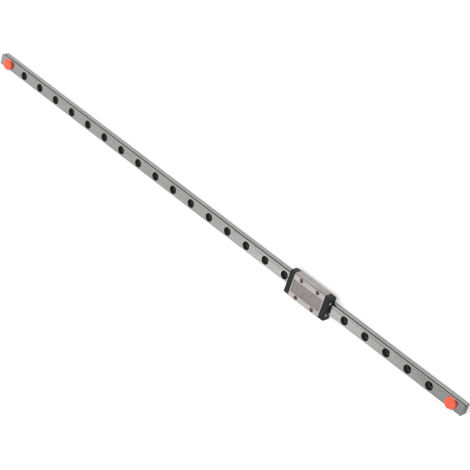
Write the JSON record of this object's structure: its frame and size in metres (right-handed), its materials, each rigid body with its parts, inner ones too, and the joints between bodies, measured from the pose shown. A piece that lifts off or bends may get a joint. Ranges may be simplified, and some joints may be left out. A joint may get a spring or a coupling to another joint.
{
  "type": "profile linear guide with carriage",
  "caption": "Slim steel profile rail with ball grooves and a row of counterbored holes, a ball carriage with black end caps sliding on it and orange end plugs.",
  "frame": {"origin": "centre of the rail's mounting face, halfway along the rail", "axes": "+X along the rail, towards the end that the carriage stands nearer to, +Y across it, +Z out of the rail's top"},
  "size_m": [0.5, 0.02, 0.01],
  "materials": {
    "rail_steel": "ground",
    "block_steel": "ground",
    "cap_plastic": "matt, moulded",
    "seal_rubber": "matt",
    "screw_steel": "bright",
    "ball_steel": "polished",
    "plug_plastic": "soft, satin"
  },
  "bodies": {
    "rail": {"rail": "rail_steel", "end_plug_left": "plug_plastic", "end_plug_right": "plug_plastic"},
    "carriage": {"carriage_block": "block_steel", "end_cap_left": "cap_plastic", "end_seal_left": "seal_rubber", "cap_screw_left_front": "screw_steel", "cap_screw_left_back": "screw_steel", "end_cap_right": "cap_plastic", "end_seal_right": "seal_rubber", "cap_screw_right_front": "screw_steel", "cap_screw_right_back": "screw_steel", "ball_row_front": "ball_steel", "ball_row_back": "ball_steel"}
  },
  "joints": [
    {"name": "carriage_slide", "type": "slide", "parent": "rail", "child": "carriage", "axis": [1, 0, 0], "range_m": [-0.32065, 0.10965]}
  ]
}
